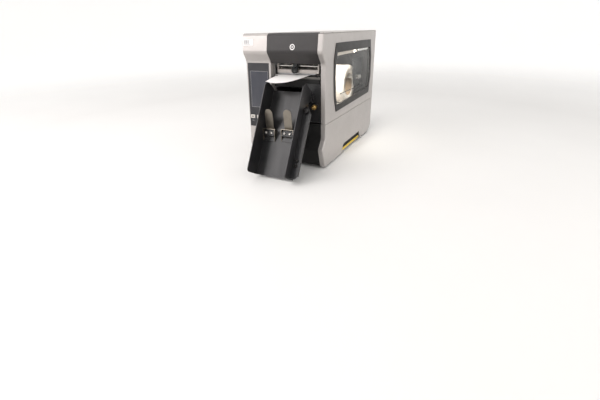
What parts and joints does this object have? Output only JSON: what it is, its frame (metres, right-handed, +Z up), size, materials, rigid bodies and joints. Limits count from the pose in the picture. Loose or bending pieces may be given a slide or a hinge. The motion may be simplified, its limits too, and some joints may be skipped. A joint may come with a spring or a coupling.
{
  "type": "thermal label printer",
  "caption": "Industrial thermal-transfer label printer with a bi-fold windowed media door, touch panel, label outlet and a hinged catch chute with two sprung stop fingers.",
  "frame": {"origin": "middle of the footprint of the printer and its chute, on the table", "axes": "+Z up, -Y towards the operator, +X towards the media door"},
  "size_m": [0.27, 0.6736, 0.395],
  "materials": {
    "silver_paint": "warm silver-grey satin paint",
    "black_plastic": "fine-textured charcoal moulding",
    "black_paint": "near-black powder coat",
    "grey_panel": "dark grey overlay",
    "screen": "dark display glass with a pale outline",
    "cream_keys": "pale satin keys",
    "clear_window": "clear pane",
    "steel": "bright brushed steel",
    "bright_bar": "pale anodised bar",
    "brass": "turned brass",
    "rubber": "matt black rubber",
    "paper": "white coated label paper",
    "ribbon": "wound black transfer film",
    "aluminium": "plain mill finish",
    "galvanised": "galvanised sheet",
    "circuit_board": "green solder mask",
    "amber_strip": "yellow foam strip"
  },
  "bodies": {
    "chassis": {"base_pan": "galvanised", "centre_wall": "aluminium", "rear_panel": "black_paint", "left_cover": "silver_paint", "front_column": "silver_paint", "control_bezel": "grey_panel", "touch_display": "screen", "usb_port_panel": "black_plastic", "front_lid": "black_plastic", "lower_front_cover": "black_plastic", "outlet_surround": "black_plastic", "lower_side_panel": "silver_paint", "grip_strip": "amber_strip", "front_left_foot": "rubber", "front_right_foot": "rubber", "rear_left_foot": "rubber", "rear_right_foot": "rubber", "door_hinge_rod": "steel", "media_hanger": "steel", "label_web": "paper", "mechanism_frame": "aluminium", "tear_off_bar": "steel", "stepper_motor": "black_paint", "drive_belt": "rubber", "power_supply": "galvanised", "main_logic_board": "circuit_board", "power_inlet": "black_plastic", "io_port_block": "black_plastic", "chute_mount": "black_paint", "chute_pivot_pin": "steel"},
    "door_top": {"media_door_top": "silver_paint", "door_fold_rod": "steel"},
    "door_side": {"media_door_side": "silver_paint", "window_frame": "black_plastic", "window_pane": "clear_window"},
    "pause_key": {"pause_button": "cream_keys"},
    "feed_key": {"feed_button": "cream_keys"},
    "cancel_key": {"cancel_button": "cream_keys"},
    "rocker": {"power_switch": "black_plastic"},
    "platen": {"platen_shaft": "steel", "platen_roller": "rubber"},
    "motor_rotor": {"motor_pulley": "steel"},
    "printhead": {"printhead_bracket": "bright_bar", "thermal_printhead": "aluminium", "pressure_bar": "steel"},
    "toggle": {"pressure_toggle": "black_plastic"},
    "head_lever": {"printhead_lever": "black_plastic"},
    "ribbon_supply": {"ribbon_supply_spindle": "black_plastic", "ribbon_supply_roll": "ribbon"},
    "ribbon_takeup": {"ribbon_takeup_spindle": "black_plastic", "ribbon_takeup_roll": "ribbon"},
    "media_roll": {"label_roll": "paper"},
    "roll_guide": {"media_guide": "black_plastic"},
    "dancer": {"dancer_arm": "black_plastic"},
    "chute": {"chute_tray": "black_paint", "chute_arm": "black_paint", "left_stop_finger": "steel", "right_stop_finger": "steel"},
    "clamp_knob": {"chute_clamp_knob": "black_plastic"},
    "thumb_screw": {"chute_thumb_screw": "brass"}
  },
  "joints": [
    {"name": "door_open", "type": "hinge", "parent": "chassis", "child": "door_top", "pos_m": [-0.0453, 0.11679, 0.3935], "axis": [0, -1, 0], "range_deg": [0, 105]},
    {"name": "door_fold", "type": "hinge", "parent": "door_top", "child": "door_side", "pos_m": [0.1315, 0.11679, 0.3935], "axis": [0, -1, 0], "range_deg": [0, 150]},
    {"name": "pause_press", "type": "slide", "parent": "chassis", "child": "pause_key", "axis": [0, 0.9978, -0.0662], "range_m": [0, 0.0012], "stiffness_N_per_m": 400},
    {"name": "feed_press", "type": "slide", "parent": "chassis", "child": "feed_key", "axis": [0, 0.9978, -0.0662], "range_m": [0, 0.0012], "stiffness_N_per_m": 400},
    {"name": "cancel_press", "type": "slide", "parent": "chassis", "child": "cancel_key", "axis": [0, 0.9978, -0.0662], "range_m": [0, 0.0012], "stiffness_N_per_m": 400},
    {"name": "power_rock", "type": "hinge", "parent": "chassis", "child": "rocker", "pos_m": [-0.066, 0.32529, 0.057], "axis": [1, 0, 0], "range_deg": [0, 14]},
    {"name": "platen_spin", "type": "hinge", "parent": "chassis", "child": "platen", "pos_m": [0.029, -0.12321, 0.27], "axis": [1, 0, 0], "continuous": true},
    {"name": "motor_spin", "type": "hinge", "parent": "chassis", "child": "motor_rotor", "pos_m": [-0.101, -0.04521, 0.196], "axis": [1, 0, 0], "continuous": true},
    {"name": "media_roll_spin", "type": "hinge", "parent": "chassis", "child": "media_roll", "pos_m": [0.016, 0.21079, 0.208], "axis": [1, 0, 0], "continuous": true},
    {"name": "ribbon_supply_spin", "type": "hinge", "parent": "chassis", "child": "ribbon_supply", "pos_m": [0.016, 0.05079, 0.322], "axis": [1, 0, 0], "continuous": true},
    {"name": "ribbon_takeup_spin", "type": "hinge", "parent": "chassis", "child": "ribbon_takeup", "pos_m": [0.016, -0.03321, 0.342], "axis": [1, 0, 0], "continuous": true},
    {"name": "head_open", "type": "hinge", "parent": "chassis", "child": "printhead", "pos_m": [0.029, -0.05921, 0.297], "axis": [-1, 0, 0], "range_deg": [0, 15]},
    {"name": "lever_turn", "type": "hinge", "parent": "chassis", "child": "head_lever", "pos_m": [0.1136, -0.08521, 0.312], "axis": [1, 0, 0], "range_deg": [0, 80]},
    {"name": "toggle_slide", "type": "slide", "parent": "printhead", "child": "toggle", "axis": [1, 0, 0], "range_m": [-0.045, 0.06]},
    {"name": "guide_slide", "type": "slide", "parent": "chassis", "child": "roll_guide", "axis": [-1, 0, 0], "range_m": [0, 0.027]},
    {"name": "dancer_swing", "type": "hinge", "parent": "chassis", "child": "dancer", "pos_m": [-0.041, 0.05879, 0.118], "axis": [-1, 0, 0], "range_deg": [0, 12]},
    {"name": "chute_swing", "type": "hinge", "parent": "chassis", "child": "chute", "pos_m": [0.025, -0.16105, 0.21814], "axis": [-1, 0, 0], "range_deg": [-15, 4]},
    {"name": "clamp_knob_turn", "type": "hinge", "parent": "chute", "child": "clamp_knob", "pos_m": [0.0995, -0.21698, 0.19328], "axis": [0, -0.866, 0.5], "range_deg": [0, 360]},
    {"name": "thumb_screw_turn", "type": "hinge", "parent": "chassis", "child": "thumb_screw", "pos_m": [0.1005, -0.16321, 0.1945], "axis": [0, -1, 0], "range_deg": [0, 720]}
  ],
  "couplings": [
    {"joint": "motor_spin", "follows": "platen_spin", "ratio": 2.2222},
    {"joint": "media_roll_spin", "follows": "platen_spin", "ratio": -0.1357},
    {"joint": "ribbon_supply_spin", "follows": "platen_spin", "ratio": -0.2794},
    {"joint": "ribbon_takeup_spin", "follows": "platen_spin", "ratio": -0.475},
    {"joint": "lever_turn", "follows": "head_open", "ratio": 5.3333}
  ]
}
